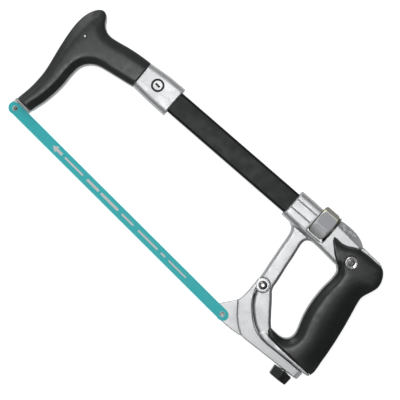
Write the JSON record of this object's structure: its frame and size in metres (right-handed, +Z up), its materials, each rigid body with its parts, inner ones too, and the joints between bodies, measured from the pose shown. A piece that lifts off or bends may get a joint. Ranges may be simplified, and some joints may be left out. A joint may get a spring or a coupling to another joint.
{
  "type": "hacksaw",
  "caption": "Hand saw for metal: a tubular backbone between a front handle and a cast rear handle, holding a thin straight blade tensioned by a lever and knob.",
  "frame": {"origin": "middle of the saw's underside as it lies on its side, at the centre of its bounding box", "axes": "+X along the blade from the front pin to the rear pin, +Y from the blade towards the backbone, +Z up through the thickness of the saw"},
  "size_m": [0.4234, 0.1654, 0.0324],
  "materials": {
    "cast_aluminium": "bead-blasted silver casting",
    "rubber_grip": "matt black moulded rubber",
    "tube_enamel": "satin black enamel",
    "chrome": "bright chrome plate",
    "steel": "bright machined steel",
    "brass": "machined brass",
    "knob_plastic": "black moulded plastic",
    "blade_enamel": "teal enamel on spring steel"
  },
  "bodies": {
    "rear_frame": {"rear_frame": "cast_aluminium", "rear_grip_near": "rubber_grip", "rear_grip_far": "rubber_grip", "grip_cup_washer": "chrome", "grip_screw": "chrome", "grip_sleeve_nut": "steel", "boss_grub_screw": "steel", "nut_thrust_washer": "steel", "tension_trunnion": "brass", "pivot_bush": "brass"},
    "adjuster_nut": {"adjuster_nut": "chrome"},
    "front_assembly": {"backbone_tube": "tube_enamel", "tube_end_plug": "steel", "plug_spring_pin": "steel", "adjuster_stud": "steel", "front_frame": "cast_aluminium", "front_grip": "rubber_grip", "front_grip_pin": "steel", "front_blade_pin": "steel", "tube_lock_screw": "steel"},
    "tension_lever": {"tension_lever": "cast_aluminium", "rear_blade_pin": "steel", "pivot_screw": "chrome", "pivot_washer": "steel", "pivot_nut": "steel", "pivot_shim_near": "brass", "pivot_shim_far": "brass", "knob_seat_washer": "steel"},
    "tension_knob": {"tension_knob": "knob_plastic", "tension_screw": "steel"},
    "blade": {"blade": "blade_enamel"}
  },
  "joints": [
    {"name": "adjuster_nut_turn", "type": "hinge", "parent": "rear_frame", "child": "adjuster_nut", "pos_m": [0.11247, 0.06585, 0.0162], "axis": [0.9976, 0.0689, 0], "range_deg": [-324.5, 324.5]},
    {"name": "backbone_slide", "type": "slide", "parent": "rear_frame", "child": "front_assembly", "axis": [0.9976, 0.0689, 0], "range_m": [-0.0009, 0.0009]},
    {"name": "tension_lever_pivot", "type": "hinge", "parent": "rear_frame", "child": "tension_lever", "pos_m": [0.11216, -0.02353, 0.0162], "axis": [0, 0, 1], "range_deg": [-4, 0]},
    {"name": "tension_knob_turn", "type": "hinge", "parent": "tension_lever", "child": "tension_knob", "pos_m": [0.18926, -0.07053, 0.0162], "axis": [-0.108, 0.9942, 0], "range_deg": [-1800, 0]},
    {"name": "blade_lift", "type": "slide", "parent": "front_assembly", "child": "blade", "axis": [0, 0, 1], "range_m": [0, 0.0126]}
  ],
  "couplings": [
    {"joint": "adjuster_nut_turn", "follows": "backbone_slide", "rad_per_m": -6283.2},
    {"joint": "tension_lever_pivot", "follows": "tension_knob_turn", "ratio": 0.0022222},
    {"joint": "blade_lift", "follows": "tension_knob_turn", "m_per_rad": -0.00038197}
  ]
}
